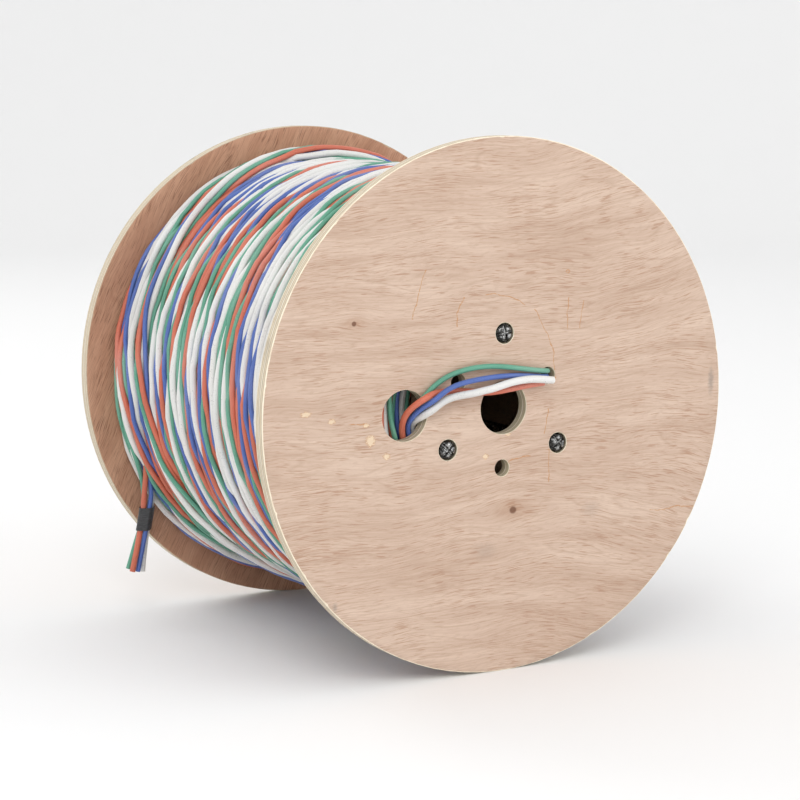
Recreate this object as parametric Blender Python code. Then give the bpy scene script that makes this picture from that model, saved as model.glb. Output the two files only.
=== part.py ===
"""A plywood reel of four-strand cable, standing on the rims of its two round flanges.

Two plywood flanges are clamped on the ends of a fibre drum tube by three long tie bolts.
The wound bundle of four loose strands is modelled as one turned solid. Its inner end comes
out through the start hole of the front flange, and its outer end hangs down beside the rear
flange in a band of tape.

The reel's axle lies along Y, with the front flange at -Y, and the reel stands on Z = 0.
Lengths below are in millimetres, and MM turns them into Blender's metres.
"""
import math

import bpy
import bmesh
from mathutils import Matrix, Vector

MM = 0.001
GAP = 0.3                       # clearance between two pieces that touch

# Driving dimensions of the reel
FLANGE_DIAMETER = 406.4
FLANGE_THICKNESS = 11.11
TRAVERSE = 311.15               # clear width between the flanges
DRUM_DIAMETER = 133.35
DRUM_WALL = 4.0
ARBOR_DIAMETER = 40.3
START_HOLE_DIAMETER = 38.1
START_HOLE_X = -86.0
PIN_HOLE_DIAMETER = 12.7
PIN_PLACES = ((39.6, 21.7), (-39.8, 21.6), (-1.1, -46.1))       # x and z from the axle

# The tie bolts and what is on them
BOLT_PLACES = ((0.5, 56.1), (-49.0, -28.4), (49.1, -30.8))      # x and z from the axle
BOLT_DIAMETER = 7.94
BOLT_HOLE_DIAMETER = 8.8
COUNTERBORE_DIAMETER = 15.9
COUNTERBORE_DEPTH = 3.0
HEAD_DIAMETER = 13.6
HEAD_PROUD = 1.6                # how far the domed head stands out of the face
SLOT_WIDTH = 1.9
SLOT_DEPTH = 1.5
WASHER_DIAMETER = 22.0
WASHER_THICKNESS = 1.6
NUT_ACROSS_FLATS = 12.7
NUT_HEIGHT = 6.75
THREAD_END = 1.6                # thread showing behind the nut

SPLINE_STEPS = 40               # steps along each span of a strand's smooth route

# Facets round each turned shape
FLANGE_FACETS = 96
WINDING_FACETS = 72
DRUM_FACETS = 48
HOLE_FACETS = 40
SMALL_FACETS = 24
RIM_CHAMFER = 0.6

# The winding's outer profile: (distance along the axle from the reel's middle, radius)
WINDING_BORE_RADIUS = DRUM_DIAMETER / 2 + 0.45
WINDING_PROFILE = (
    (-155.2, 174), (-140, 177), (0, 176), (100, 178), (118, 180),
    (124, 188), (146, 188), (155.2, 178),
)
POCKET_RADIUS = 24.0            # hollow behind the start hole, where the inner end starts
POCKET_DEPTH = 10.4             # from the flange's inner face
POCKET_CENTRE = (-78.0, -6.0)   # x and z from the axle
NOTCH_SIZE = (30, 17, 46)       # hollow where the outer end leaves: radial, axial, tangential
NOTCH_FLOOR_RADIUS = 180.0
NOTCH_ANGLE = 217.0
NOTCH_Y = 138.0

# The four strands
STRAND_DIAMETERS = {"green": 4.0, "blue": 4.0, "orange": 4.8, "white": 5.7}
STRAND_COLOURS = {
    "green": (0.06, 0.24, 0.14, 1),
    "blue": (0.04, 0.10, 0.35, 1),
    "orange": (0.55, 0.13, 0.05, 1),
    "white": (0.70, 0.70, 0.68, 1),
}

# Start leads: x, distance out of the front face, z; from the axle
START_ROUTES = {
    "green": (
        (-76.6, -19.2, -23), (-77, -18.3, -14), (-76.9, -15.8, -5), (-76.6, -12.2, 1),
        (-76.2, -7.6, 4.6), (-75.6, -3, 7.2), (-74.2, 0.8, 9.6), (-71.6, 2.8, 12.7),
        (-67, 3, 17.4), (-61, 2.8, 22.2), (-52, 2.4, 26.9), (-42, 2.5, 30),
        (-32, 2.6, 31.8), (-21.5, 2.8, 32.6), (-10, 3, 32.4), (3, 3.2, 30.8),
        (16, 3.4, 28.5), (26.5, 3.4, 26.9), (33.4, 3.5, 26), (37.8, 1.3, 25.4),
        (40.4, -1.8, 25),
    ),
    "blue": (
        (-73, -14.2, -22), (-74.6, -13.9, -16.5), (-76.3, -12.6, -11.5), (-77.2, -9.7, -7),
        (-76.8, -6, -3), (-76, -2.2, 0.6), (-74.2, 1.8, 4), (-71.8, 5.6, 7.2),
        (-69, 9.3, 9.9), (-65.4, 11.7, 13), (-60.8, 11.7, 16.4), (-53.5, 10.6, 19.8),
        (-43, 8.8, 22.2), (-32, 7.3, 23.4), (-21, 6.1, 24.1), (-11, 5, 24.5),
        (0, 4, 24.4), (10, 3.1, 23.9), (20.4, 2.6, 22.9), (28, 2.5, 21.9),
        (32.8, 3, 21.5), (36.5, 1.2, 21.1), (39.4, -1.4, 20.7),
    ),
    "orange": (
        (-78.5, -14.6, -22), (-80, -14, -17), (-81.7, -12.1, -11.6), (-82.9, -8.8, -6.2),
        (-83.2, -5.2, -1.6), (-82.6, -1.4, 2.6), (-81.2, 2.4, 6.2), (-79.2, 5.8, 9.2),
        (-76.4, 8.2, 11.8), (-72.8, 8.8, 13.8), (-68.6, 7.8, 15.3), (-64.5, 6.7, 15.9),
        (-60, 5.2, 16.3), (-52, 3.5, 16.4), (-42, 2.8, 15.8), (-30, 2.8, 14.4),
        (-20, 2.8, 13), (-10, 2.8, 12.8), (0.5, 2.8, 13.8), (11, 2.8, 14.9),
        (21, 2.8, 16.1), (28, 2.8, 16.6), (33.6, 2.8, 16.9),
    ),
    "white": (
        (-68, -17.5, -22), (-69.4, -17, -15.5), (-71.1, -15.9, -10.2), (-71.7, -12, -6.8),
        (-71.7, -7.2, -4.2), (-71, -1.8, -2), (-69.6, 3.3, 0.8), (-66.4, 7, 3.9),
        (-61.8, 8, 7.6), (-56, 7.6, 10.7), (-47.4, 8.4, 12.9), (-38, 8.9, 13.6),
        (-29, 8.9, 14.4), (-22.5, 8.8, 15.5), (-16, 8.8, 16.2), (-8, 8.6, 18),
        (1, 8.4, 20), (11, 8.3, 21.1), (20.5, 8.1, 21.1), (29, 8.1, 20.3),
        (35, 7.8, 19.5), (39.4, 6.8, 18.9),
    ),
}

# Tails: x, distance along the axle from the reel's middle, z; from the axle
TAIL_ROUTES = {
    "orange": (
        (-162.4, 134.6, -104), (-162.5, 134.9, -108), (-162.8, 135.0, -112),
        (-164.4, 135.0, -120.5), (-166.1, 135.0, -129.6), (-168, 134.5, -138),
        (-170, 133.9, -146.2), (-172.3, 133.6, -155), (-174.5, 133.4, -164),
    ),
    "blue": (
        (-157.4, 132.2, -104), (-158.0, 132.3, -108), (-158.7, 132.4, -112),
        (-160.3, 132.5, -120.5), (-162, 132.5, -129.6), (-163.7, 133.2, -138),
        (-165.2, 133.8, -146.6), (-167.1, 134.1, -155), (-169.2, 134.3, -164.6),
    ),
    "green": (
        (-160.6, 139.5, -104), (-160.7, 139.5, -108), (-160.9, 139.4, -112),
        (-162.5, 139.4, -120.5), (-164.3, 139.4, -129.6), (-167.6, 139.2, -138),
        (-170.8, 138.9, -147), (-173.5, 138.7, -155), (-176, 138.6, -162.4),
    ),
    "white": (
        (-154.2, 138.0, -104), (-155, 137.7, -108), (-155.9, 137.4, -112),
        (-157.7, 137.1, -120.5), (-159.4, 137.2, -129.6), (-160.6, 137.9, -138),
        (-161.6, 138.5, -147), (-162.7, 138.6, -156), (-163.7, 138.6, -165.6),
    ),
}
TAPE_TOP = -111.0               # heights from the axle
TAPE_BOTTOM = -129.8
TAPE_SECTIONS = 6
TAPE_CLEARANCE = 0.6
TAPE_WALL = 0.6
TAPE_FACETS = 36

# The reel's middle stands where its box, without the loose strands, is centred on Y
FRONT_PROUD = HEAD_PROUD
REAR_PROUD = GAP + WASHER_THICKNESS + GAP + NUT_HEIGHT + THREAD_END
AXLE_HEIGHT = FLANGE_DIAMETER / 2 * math.cos(math.pi / FLANGE_FACETS)
REEL_MIDDLE = Vector((0, (FRONT_PROUD - REAR_PROUD) / 2, AXLE_HEIGHT))
INNER_FACE = TRAVERSE / 2
OUTER_FACE = INNER_FACE + FLANGE_THICKNESS
FACE_OVERRUN = 2.0              # how far a cutter passes the faces it cuts


def clear_scene():
    for item in list(bpy.data.objects):
        bpy.data.objects.remove(item, do_unlink=True)


def material(name, colour, roughness, metallic=0.0):
    """A plain Principled material, made once for each name."""
    found = bpy.data.materials.get(name)
    if found:
        return found
    made = bpy.data.materials.new(name)
    made.use_nodes = True
    shader = made.node_tree.nodes["Principled BSDF"]
    shader.inputs["Base Color"].default_value = colour
    shader.inputs["Roughness"].default_value = roughness
    shader.inputs["Metallic"].default_value = metallic
    made.diffuse_color = colour
    return made


def add_object(name, bm, parent, finish=None):
    """Turn a bmesh into a named object under parent, shaded smooth between its edges."""
    mesh = bpy.data.meshes.new(name)
    bmesh.ops.recalc_face_normals(bm, faces=bm.faces)
    bm.to_mesh(mesh)
    bm.free()
    mesh.shade_smooth()
    mesh.set_sharp_from_angle(angle=math.radians(30))
    item = bpy.data.objects.new(name, mesh)
    bpy.context.scene.collection.objects.link(item)
    item.parent = parent
    if finish:
        mesh.materials.append(finish)
    return item


def turned(profile, facets, closed):
    """Spin a profile of (distance along the axle, radius) in mm round the Y axis.

    A facet's middle faces straight down, so a rim stands on a flat.
    """
    half_step = Matrix.Rotation(math.pi / facets, 4, "Y")
    bm = bmesh.new()
    verts = [bm.verts.new(half_step @ Vector((radius, y, 0)) * MM) for y, radius in profile]
    pairs = list(zip(verts, verts[1:]))
    if closed:
        pairs.append((verts[-1], verts[0]))
    edges = [bm.edges.new(pair) for pair in pairs]
    bmesh.ops.spin(
        bm, geom=verts + edges, cent=(0, 0, 0), axis=(0, 1, 0), angle=2 * math.pi,
        steps=facets, use_merge=True,
    )
    bmesh.ops.remove_doubles(bm, verts=bm.verts, dist=1e-6)
    return bm


def polar(radius, degrees, y=0.0):
    """A place in mm on a circle round the axle, as metres."""
    angle = math.radians(degrees)
    return Vector((radius * math.cos(angle), y, radius * math.sin(angle))) * MM


def cutter(name, bm, parent, location=(0, 0, 0), rotation_y=0.0):
    """A hidden solid that a Boolean takes away."""
    item = add_object(name, bm, parent)
    item.location = location
    item.rotation_euler.y = rotation_y
    item.hide_render = True
    item.display_type = "WIRE"
    return item


def rod(diameter, start, end, facets):
    """A solid cylinder along the axle from start to end, in mm."""
    radius = diameter / 2
    return turned(((start, 0), (start, radius), (end, radius), (end, 0)), facets, closed=False)


def block(size):
    """A box of the given size in mm, centred on its own origin."""
    bm = bmesh.new()
    bmesh.ops.create_cube(bm, size=1.0)
    bmesh.ops.scale(bm, vec=Vector(size) * MM, verts=bm.verts)
    return bm


def cut(item, tool):
    step = item.modifiers.new(tool.name, "BOOLEAN")
    step.operation = "DIFFERENCE"
    step.solver = "EXACT"
    step.object = tool


def make_flange(name, reel, side):
    """One plywood disc with its bores; side is -1 for the front and +1 for the rear."""
    radius = FLANGE_DIAMETER / 2
    arbor = ARBOR_DIAMETER / 2
    inner, outer = side * INNER_FACE, side * OUTER_FACE
    profile = (
        (inner, arbor), (inner, radius - RIM_CHAMFER), (inner + side * RIM_CHAMFER, radius),
        (outer - side * RIM_CHAMFER, radius), (outer, radius - RIM_CHAMFER), (outer, arbor),
    )
    plywood = material(name + "_plywood", (0.66, 0.47, 0.33, 1), 0.75)
    flange = add_object(name, turned(profile, FLANGE_FACETS, closed=True), reel, plywood)
    start, end = sorted((inner - side * FACE_OVERRUN, outer + side * FACE_OVERRUN))

    for number, (x, z) in enumerate(PIN_PLACES, 1):
        bore = rod(PIN_HOLE_DIAMETER, start, end, SMALL_FACETS)
        place = Vector((x, 0, z)) * MM
        cut(flange, cutter(f"{name}_pin_cutter_{number}", bore, reel, place))
    for number, (x, z) in enumerate(BOLT_PLACES, 1):
        bore = rod(BOLT_HOLE_DIAMETER, start, end, SMALL_FACETS)
        place = Vector((x, 0, z)) * MM
        cut(flange, cutter(f"{name}_bolt_cutter_{number}", bore, reel, place))
        if side < 0:
            floor = -OUTER_FACE + COUNTERBORE_DEPTH
            bore = rod(COUNTERBORE_DIAMETER, start, floor, SMALL_FACETS)
            cut(flange, cutter(f"{name}_counterbore_cutter_{number}", bore, reel, place))
    if side < 0:
        bore = rod(START_HOLE_DIAMETER, start, end, HOLE_FACETS)
        place = Vector((START_HOLE_X, 0, 0)) * MM
        cut(flange, cutter(name + "_start_cutter", bore, reel, place))


def make_drum(reel):
    """The fibre tube that the flanges are clamped on."""
    half = INNER_FACE - GAP
    outer = DRUM_DIAMETER / 2
    inner = outer - DRUM_WALL
    profile = ((-half, inner), (-half, outer), (half, outer), (half, inner))
    fibre = material("drum_fibreboard", (0.42, 0.30, 0.20, 1), 0.85)
    add_object("drum_tube", turned(profile, DRUM_FACETS, closed=True), reel, fibre)


def make_tie_bolt(number, place, reel):
    """A domed, cross-slotted head in the front counterbore, on a shank right through the reel."""
    shank = BOLT_DIAMETER / 2
    head = HEAD_DIAMETER / 2
    under_head = -OUTER_FACE + COUNTERBORE_DEPTH - GAP
    head_top = -OUTER_FACE - HEAD_PROUD
    tip = OUTER_FACE + REAR_PROUD
    profile = (
        (head_top, 0), (head_top + 0.25, head * 0.5), (head_top + 1.2, head * 0.87),
        (head_top + 2.4, head), (under_head, head), (under_head, shank),
        (tip - 1.0, shank), (tip, shank - 1.0), (tip, 0),
    )
    steel = material("bolt_steel", (0.10, 0.09, 0.08, 1), 0.45, 0.9)
    bolt = add_object(
        f"tie_bolt_{number}", turned(profile, SMALL_FACETS, closed=False), reel, steel)
    bolt.location = place
    slot_size = (HEAD_DIAMETER + 2, 2 * SLOT_DEPTH, SLOT_WIDTH)
    for turn in (45, 135):
        slot_place = place + Vector((0, head_top, 0)) * MM
        slot = cutter(
            f"tie_bolt_{number}_slot_{turn}", block(slot_size), reel, slot_place,
            math.radians(turn))
        cut(bolt, slot)


def make_washer(number, place, reel):
    start = OUTER_FACE + GAP
    end = start + WASHER_THICKNESS
    inner, outer = BOLT_HOLE_DIAMETER / 2, WASHER_DIAMETER / 2
    profile = ((start, inner), (start, outer), (end, outer), (end, inner))
    zinc = material("washer_zinc", (0.55, 0.55, 0.54, 1), 0.4, 0.9)
    washer = add_object(
        f"washer_{number}", turned(profile, SMALL_FACETS, closed=True), reel, zinc)
    washer.location = place


def make_nut(number, place, reel):
    start = OUTER_FACE + GAP + WASHER_THICKNESS + GAP
    end = start + NUT_HEIGHT
    across_corners = NUT_ACROSS_FLATS / math.cos(math.pi / 6)
    zinc = material("nut_zinc", (0.50, 0.50, 0.49, 1), 0.4, 0.9)
    nut = add_object(f"nut_{number}", rod(across_corners, start, end, 6), reel, zinc)
    nut.location = place
    bore = rod(BOLT_HOLE_DIAMETER, start - 1, end + 1, SMALL_FACETS)
    cut(nut, cutter(f"nut_{number}_bore_cutter", bore, reel, place))


def make_winding(reel):
    """All the turns of the bundle as one turned solid, with a hollow at each of its ends."""
    half = INNER_FACE - 0.375
    profile = ((-half, WINDING_BORE_RADIUS),) + WINDING_PROFILE + ((half, WINDING_BORE_RADIUS),)
    jacket = material("cable_winding", (0.30, 0.30, 0.32, 1), 0.5)
    winding = add_object(
        "cable_winding", turned(profile, WINDING_FACETS, closed=True), reel, jacket)

    pocket = rod(
        2 * POCKET_RADIUS, -INNER_FACE - FACE_OVERRUN, -INNER_FACE + POCKET_DEPTH, HOLE_FACETS)
    pocket_place = Vector((POCKET_CENTRE[0], 0, POCKET_CENTRE[1])) * MM
    cut(winding, cutter("winding_pocket_cutter", pocket, reel, pocket_place))

    notch_place = polar(NOTCH_FLOOR_RADIUS + NOTCH_SIZE[0] / 2, NOTCH_ANGLE, NOTCH_Y)
    cut(winding, cutter(
        "winding_notch_cutter", block(NOTCH_SIZE), reel, notch_place,
        -math.radians(NOTCH_ANGLE)))


def spline_point(route, place):
    """A point of the uniform cubic B-spline that starts and ends on the route's own ends."""
    points = [2 * route[0] - route[1]] + route + [2 * route[-1] - route[-2]]
    span = min(int(place), len(points) - 4)
    t = place - span
    weights = (
        (1 - t) ** 3 / 6,
        (3 * t ** 3 - 6 * t ** 2 + 4) / 6,
        (-3 * t ** 3 + 3 * t ** 2 + 3 * t + 1) / 6,
        t ** 3 / 6,
    )
    return sum((w * points[span + i] for i, w in enumerate(weights)), Vector())


def smooth_route(route):
    """The smooth curve through the route's own points, as many close points."""
    steps = SPLINE_STEPS * (len(route) - 1)
    return [spline_point(route, i / SPLINE_STEPS) for i in range(steps + 1)]


def tube_points(route, diameter):
    """Points on the smooth route, 2.5 diameters apart and closer round its bends."""
    fine = smooth_route(route)
    steps = len(fine) - 1
    kept = [0]
    for i in range(2, steps - 2):
        chord = fine[i] - fine[kept[-1]]
        first = fine[kept[-1] + 1] - fine[kept[-1]]
        here = fine[i] - fine[i - 1]
        turn = first.angle(here)
        if chord.length > 2.5 * diameter or turn > math.radians(24):
            kept.append(i)
    if (fine[-1] - fine[kept[-1]]).length < diameter and len(kept) > 1:
        kept.pop()
    kept.append(steps)
    return [fine[i] for i in kept]


def make_strand(name, colour, route, reel):
    """A plain tube along a smooth route given in mm."""
    diameter = STRAND_DIAMETERS[colour]
    curve = bpy.data.curves.new(name, "CURVE")
    curve.dimensions = "3D"
    curve.bevel_depth = diameter / 2 * MM
    curve.bevel_resolution = 2
    curve.resolution_u = 1
    curve.render_resolution_u = 0
    curve.use_fill_caps = True
    spline = curve.splines.new("POLY")
    points = tube_points([Vector(point) for point in route], diameter)
    spline.points.add(len(points) - 1)
    for target, point in zip(spline.points, points):
        target.co = (*(point * MM), 1)
    strand = bpy.data.objects.new(name, curve)
    bpy.context.scene.collection.objects.link(strand)
    strand.parent = reel
    curve.materials.append(material("strand_" + colour, STRAND_COLOURS[colour], 0.45))


def make_start_leads(reel):
    for colour, route in START_ROUTES.items():
        placed = [(x, -OUTER_FACE - out, z) for x, out, z in route]
        make_strand("start_lead_" + colour, colour, placed, reel)


def make_tails(reel):
    for colour, route in TAIL_ROUTES.items():
        make_strand("tail_" + colour, colour, route, reel)


def tape_section(height, grow):
    """The outline of a band pulled round the four tails at one height, grown by grow mm."""
    outline = []
    circles = []
    for colour, route in TAIL_ROUTES.items():
        fine = smooth_route([Vector(point) for point in route])
        centre = min(fine, key=lambda point: abs(point.z - height)).copy()
        centre.z = height
        circles.append((centre, STRAND_DIAMETERS[colour] / 2 + grow))
    for i in range(TAPE_FACETS):
        angle = 2 * math.pi * i / TAPE_FACETS
        way = Vector((math.cos(angle), math.sin(angle), 0))
        centre, radius = max(circles, key=lambda circle: circle[0].dot(way) + circle[1])
        outline.append(centre + way * radius)
    return outline


def make_tape(reel):
    """The band of tape round the four tails."""
    bm = bmesh.new()
    loops = []
    heights = [
        TAPE_TOP + (TAPE_BOTTOM - TAPE_TOP) * i / (TAPE_SECTIONS - 1) for i in range(TAPE_SECTIONS)]
    sections = [(height, TAPE_CLEARANCE) for height in heights]
    sections += [(height, TAPE_CLEARANCE + TAPE_WALL) for height in reversed(heights)]
    for height, grow in sections:
        loops.append([bm.verts.new(point * MM) for point in tape_section(height, grow)])
    for one, two in zip(loops, loops[1:] + loops[:1]):
        for i in range(TAPE_FACETS):
            j = (i + 1) % TAPE_FACETS
            bm.faces.new((one[i], one[j], two[j], two[i]))
    vinyl = material("tail_tape", (0.02, 0.02, 0.02, 1), 0.4)
    add_object("tail_tape", bm, reel, vinyl)


def main():
    clear_scene()
    reel = bpy.data.objects.new("reel_middle", None)
    bpy.context.scene.collection.objects.link(reel)
    reel.location = REEL_MIDDLE * MM
    make_flange("front_flange", reel, -1)
    make_flange("rear_flange", reel, 1)
    make_drum(reel)
    for number, (x, z) in enumerate(BOLT_PLACES, 1):
        place = Vector((x, 0, z)) * MM
        make_tie_bolt(number, place, reel)
        make_washer(number, place, reel)
        make_nut(number, place, reel)
    make_winding(reel)
    make_start_leads(reel)
    make_tails(reel)
    make_tape(reel)


main()
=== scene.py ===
"""The looks of a plywood cable reel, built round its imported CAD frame.

Lengths are in millimetres from the reel's middle (the axle's centre, half way between the
flanges) unless a name says metres, and MM turns them into Blender's metres. X is to the
right, Y along the axle from the front flange to the rear one, Z up.
"""
from math import atan2, cos, exp, hypot, pi, radians, sin, sqrt

import bmesh
import bpy
import numpy as np
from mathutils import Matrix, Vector
from mathutils.geometry import delaunay_2d_cdt


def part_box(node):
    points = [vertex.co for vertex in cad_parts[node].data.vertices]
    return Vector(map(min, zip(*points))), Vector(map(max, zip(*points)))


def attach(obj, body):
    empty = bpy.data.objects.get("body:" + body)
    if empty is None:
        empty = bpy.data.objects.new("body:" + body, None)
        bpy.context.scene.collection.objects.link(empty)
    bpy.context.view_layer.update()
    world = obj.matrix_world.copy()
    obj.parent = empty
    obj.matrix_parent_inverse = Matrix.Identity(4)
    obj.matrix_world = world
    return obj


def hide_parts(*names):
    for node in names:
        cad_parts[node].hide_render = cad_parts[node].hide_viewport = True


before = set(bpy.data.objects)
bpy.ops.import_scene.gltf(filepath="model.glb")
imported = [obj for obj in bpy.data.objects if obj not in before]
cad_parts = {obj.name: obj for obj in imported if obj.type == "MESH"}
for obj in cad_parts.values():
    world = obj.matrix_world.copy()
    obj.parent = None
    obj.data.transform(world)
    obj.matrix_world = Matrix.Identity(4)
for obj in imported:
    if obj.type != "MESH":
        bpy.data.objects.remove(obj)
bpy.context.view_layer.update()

MM = 0.001
BODY = "root"
CAD_FACET_COSINE = cos(pi / 96)       # of a CAD flange's facets to its true circle

# The reel's own measures, read from the frame
front_low, front_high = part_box("front_flange")
rear_low, rear_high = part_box("rear_flange")
MIDDLE = Vector((0, (front_high.y + rear_low.y) / 2, (front_low.z + front_high.z) / 2))
FLANGE_RADIUS = (front_high.z - front_low.z) / 2 / MM / CAD_FACET_COSINE
INNER_FACE = (rear_low.y - front_high.y) / 2 / MM
OUTER_FACE = (rear_high.y - front_low.y) / 2 / MM
THICKNESS = OUTER_FACE - INNER_FACE
DRUM_RADIUS = (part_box("drum_tube")[1].z - MIDDLE.z) / MM

STRANDS = {"green": 4.0, "blue": 4.0, "orange": 4.8, "white": 5.7}     # diameters
COLOURS = list(STRANDS)


def new_object(name, data):
    item = bpy.data.objects.new(name, data)
    bpy.context.scene.collection.objects.link(item)
    return item


# ---- camera and light

VIEW_AZIMUTH = -30.10
VIEW_ELEVATION = 8.21
VIEW_DISTANCE = 1.8925                  # metres
VIEW_LENS = 104.73                      # on Blender's 36 mm sensor
AIM_RIGHT = 5.6                         # where the view's middle passes the reel's middle
AIM_UP = -15.0
FLOOR_RADIUS = 4.0                      # metres, as the next two
SWEEP_RADIUS = 1.5
WALL_HEIGHT = 3.2
SWEEP_STEPS = 12
FLOOR_SIDES = 96
FLOOR_GREY = 0.90
SKY_STRENGTH = 0.95
LIGHTS = {                              # place and diameter in metres, power in watts
    "key": ((-1.7, -2.4, 2.3), 1.8, 30),
    "fill": ((1.9, -2.6, 1.2), 2.2, 14),
    "back": ((-1.0, 2.6, 2.2), 1.8, 16),
}


def make_camera():
    azimuth, elevation = radians(VIEW_AZIMUTH), radians(VIEW_ELEVATION)
    back = Vector((sin(azimuth) * cos(elevation), -cos(azimuth) * cos(elevation), sin(elevation)))
    facing = (-back).to_track_quat("-Z", "Y")
    right = facing @ Vector((1, 0, 0))
    up = facing @ Vector((0, 1, 0))
    data = bpy.data.cameras.new("camera")
    data.lens = VIEW_LENS
    data.clip_start = 0.05
    data.clip_end = 50
    camera = new_object("camera", data)
    camera.rotation_mode = "QUATERNION"
    camera.rotation_quaternion = facing
    camera.location = MIDDLE + right * AIM_RIGHT * MM + up * AIM_UP * MM + back * VIEW_DISTANCE
    bpy.context.scene.camera = camera


def make_area_light(name, place, size, power):
    data = bpy.data.lights.new(name, "AREA")
    data.shape = "DISK"
    data.size = size
    data.energy = power
    light = new_object(name, data)
    light.location = place
    light.rotation_mode = "QUATERNION"
    light.rotation_quaternion = (MIDDLE - Vector(place)).to_track_quat("-Z", "Y")


def make_stage():
    """A plain pale floor that sweeps up into a wall all round, and soft studio light."""
    profile = [(0.0, 0.0), (FLOOR_RADIUS, 0.0)]
    for step in range(1, SWEEP_STEPS + 1):
        angle = pi / 2 * step / SWEEP_STEPS
        profile.append((FLOOR_RADIUS + SWEEP_RADIUS * sin(angle), SWEEP_RADIUS * (1 - cos(angle))))
    profile.append((FLOOR_RADIUS + SWEEP_RADIUS, WALL_HEIGHT))
    bm = bmesh.new()
    verts = [bm.verts.new((x, 0, z)) for x, z in profile]
    edges = [bm.edges.new(pair) for pair in zip(verts, verts[1:])]
    bmesh.ops.spin(
        bm, geom=verts + edges, cent=(0, 0, 0), axis=(0, 0, 1), angle=2 * pi,
        steps=FLOOR_SIDES, use_merge=True)
    bmesh.ops.recalc_face_normals(bm, faces=bm.faces)
    mesh = bpy.data.meshes.new("floor")
    bm.to_mesh(mesh)
    bm.free()
    mesh.shade_smooth()
    mesh.materials.append(Nodes("floor").finish(
        Base_Color=(FLOOR_GREY, FLOOR_GREY, FLOOR_GREY, 1), Roughness=0.9, Specular_IOR_Level=0.1))
    new_object("floor", mesh)

    world = bpy.data.worlds.new("studio")
    world.use_nodes = True
    sky = world.node_tree.nodes["Background"]
    sky.inputs["Color"].default_value = (1, 1, 1, 1)
    sky.inputs["Strength"].default_value = SKY_STRENGTH
    bpy.context.scene.world = world
    bpy.context.scene.view_settings.view_transform = "Standard"
    for name, (place, size, power) in LIGHTS.items():
        make_area_light(name, place, size, power)


# ---- small helpers


def add_piece(name, mesh, finishes, node):
    """A finished piece, fixed to the reel and the CAD node it stands for."""
    item = new_object(name, mesh)
    for finish in finishes:
        mesh.materials.append(finish)
    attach(item, BODY)
    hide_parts(node)
    return item


def give_finish(node, finish):
    """A new material on a CAD node that stays."""
    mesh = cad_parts[node].data
    mesh.materials.clear()
    mesh.materials.append(finish)


def spline_curve(route, steps):
    """The uniform cubic B-spline through a route's ends, as an array of close points."""
    route = np.array(route, float)
    points = np.vstack((2 * route[0] - route[1], route, 2 * route[-1] - route[-2]))
    t = np.linspace(0, len(route) - 1, steps * (len(route) - 1) + 1)
    span = np.minimum(t.astype(int), len(route) - 2)
    t = (t - span)[:, None]
    return (
        (1 - t) ** 3 / 6 * points[span]
        + (3 * t ** 3 - 6 * t ** 2 + 4) / 6 * points[span + 1]
        + (-3 * t ** 3 + 3 * t ** 2 + 3 * t + 1) / 6 * points[span + 2]
        + t ** 3 / 6 * points[span + 3]
    )


def ring_quads(rows, sides, closed=False, base=0):
    """Quads between each ring of vertices and the next one, from vertex number base on."""
    row = np.arange(rows if closed else rows - 1)[:, None]
    here = np.arange(sides)[None, :]
    first, second = row * sides, (row + 1) % rows * sides
    after = (here + 1) % sides
    quads = np.stack((first + here, first + after, second + after, second + here), -1)
    return (base + quads.reshape(-1, 4)).tolist()


def tube_faces(rows, sides, base=0):
    """The quads between a tube's rings, and a cap on each end."""
    ring = np.arange(base, base + sides)
    last = ring + (rows - 1) * sides
    return ring_quads(rows, sides, base=base) + [ring[::-1].tolist(), last.tolist()]


def new_mesh(name, verts, faces, degrees, recalculate=True):
    """A mesh in world metres from vertices in mm, sharp where faces meet at more than degrees."""
    mesh = bpy.data.meshes.new(name)
    mesh.from_pydata((np.array(MIDDLE) + np.asarray(verts) * MM).tolist(), [], faces)
    if recalculate:
        bm = bmesh.new()
        bm.from_mesh(mesh)
        bmesh.ops.recalc_face_normals(bm, faces=bm.faces)
        bm.to_mesh(mesh)
        bm.free()
    mesh.shade_smooth()
    mesh.set_sharp_from_angle(angle=radians(degrees))
    return mesh


def ring_mesh(name, rings, closed=False, degrees=35):
    """A mesh from (rows, sides, 3) rings; one that isn't closed gets a cap on each end."""
    rows, sides = rings.shape[:2]
    faces = ring_quads(rows, sides, closed) if closed else tube_faces(rows, sides)
    return new_mesh(name, rings.reshape(-1, 3), faces, degrees)


def even_angles(sides):
    return np.arange(sides) * 2 * pi / sides


def polar_points(angle, y, radius, centre=(0, 0)):
    """Points at angles, places and radii round the line along Y through centre (x, z)."""
    x = centre[0] + radius * np.cos(angle)
    return np.stack((x, np.broadcast_to(y, x.shape), centre[1] + radius * np.sin(angle)), -1)


def turned_rings(profile, sides, centre=(0, 0)):
    """Rings round the line along Y through centre (x, z) from a profile of (y, radius)."""
    y, radius = np.array(profile, float).T[:, :, None]
    return polar_points(even_angles(sides), y, radius, centre)


def tube_rings(points, radius, sides, across):
    """Rings round points, an (n, 3) array; across is where each ring's first vertex turns to."""
    along = np.gradient(points, axis=0)
    along /= np.linalg.norm(along, axis=1)[:, None]
    side = across - (across * along).sum(1)[:, None] * along
    side /= np.linalg.norm(side, axis=1)[:, None]
    other = np.cross(along, side)
    angle = even_angles(sides)
    ring = np.cos(angle)[:, None] * side[:, None, :] + np.sin(angle)[:, None] * other[:, None, :]
    return points[:, None, :] + radius * ring


# ---- node materials


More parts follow.
